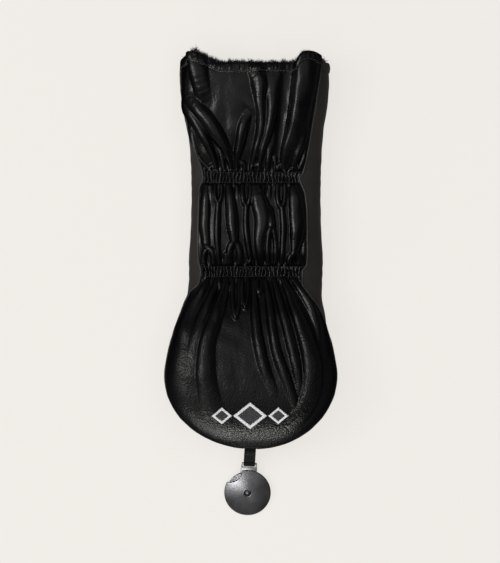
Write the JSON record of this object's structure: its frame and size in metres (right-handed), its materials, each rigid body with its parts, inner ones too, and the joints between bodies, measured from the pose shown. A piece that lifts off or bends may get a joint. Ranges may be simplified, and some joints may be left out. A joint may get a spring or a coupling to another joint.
{
  "type": "driver head cover",
  "caption": "Padded golf driver head cover with an elastic-gathered sleeve, a rounded crown and a turning number tag on a webbing loop.",
  "frame": {"origin": "centre of the footprint, in the plane the cover's back rests on", "axes": "+Y from the crown towards the mouth, +Z out of the gathered front, +X to the right seen from the front"},
  "size_m": [0.156, 0.4216, 0.073],
  "materials": {
    "leather": "satin",
    "back_fabric": "matte",
    "plush": "matte",
    "foam": "matte",
    "elastic": "matte",
    "thread": "satin",
    "white_thread": "satin",
    "grey_thread": "satin",
    "webbing": "matte",
    "gunmetal": "satin",
    "rivet_steel": "gloss"
  },
  "bodies": {
    "cover": {"front_panel": "leather", "back_sleeve_panel": "back_fabric", "back_crown_panel": "leather", "front_padding": "foam", "back_padding": "foam", "front_lining": "plush", "back_lining": "plush", "front_hem": "leather", "back_hem": "back_fabric", "upper_elastic": "elastic", "lower_elastic": "elastic", "front_hem_stitching": "thread", "back_hem_stitching": "thread", "upper_gather_stitching_top": "thread", "upper_gather_stitching_bottom": "thread", "lower_gather_stitching_top": "thread", "lower_gather_stitching_bottom": "thread", "cross_seam_stitching": "thread", "left_seam_piping": "leather", "right_seam_piping": "leather", "emblem_middle_outline": "white_thread", "emblem_left_outline": "white_thread", "emblem_right_outline": "white_thread", "emblem_middle_fill": "grey_thread", "emblem_left_fill": "grey_thread", "emblem_right_fill": "grey_thread", "webbing_anchor": "webbing"},
    "webbing": {"webbing_loop": "webbing", "webbing_stitching": "thread"},
    "tag": {"tag_plate": "gunmetal", "tag_spring_washer": "rivet_steel", "tag_rivet": "rivet_steel"},
    "dial": {"tag_dial": "gunmetal"}
  },
  "joints": [
    {"name": "strap_flex", "type": "hinge", "parent": "cover", "child": "webbing", "pos_m": [-0.0006, -0.1515, 0.0176], "axis": [0.9981, -0.061, 0], "range_deg": [-60, 35]},
    {"name": "tag_swing", "type": "hinge", "parent": "webbing", "child": "tag", "pos_m": [-0.00133, -0.16348, 0.009], "axis": [0.9981, -0.061, 0], "range_deg": [-45, 60]},
    {"name": "dial_spin", "type": "hinge", "parent": "tag", "child": "dial", "pos_m": [-0.00293, -0.18972, 0.00435], "axis": [-0.0106, -0.1738, 0.9847], "continuous": true}
  ]
}
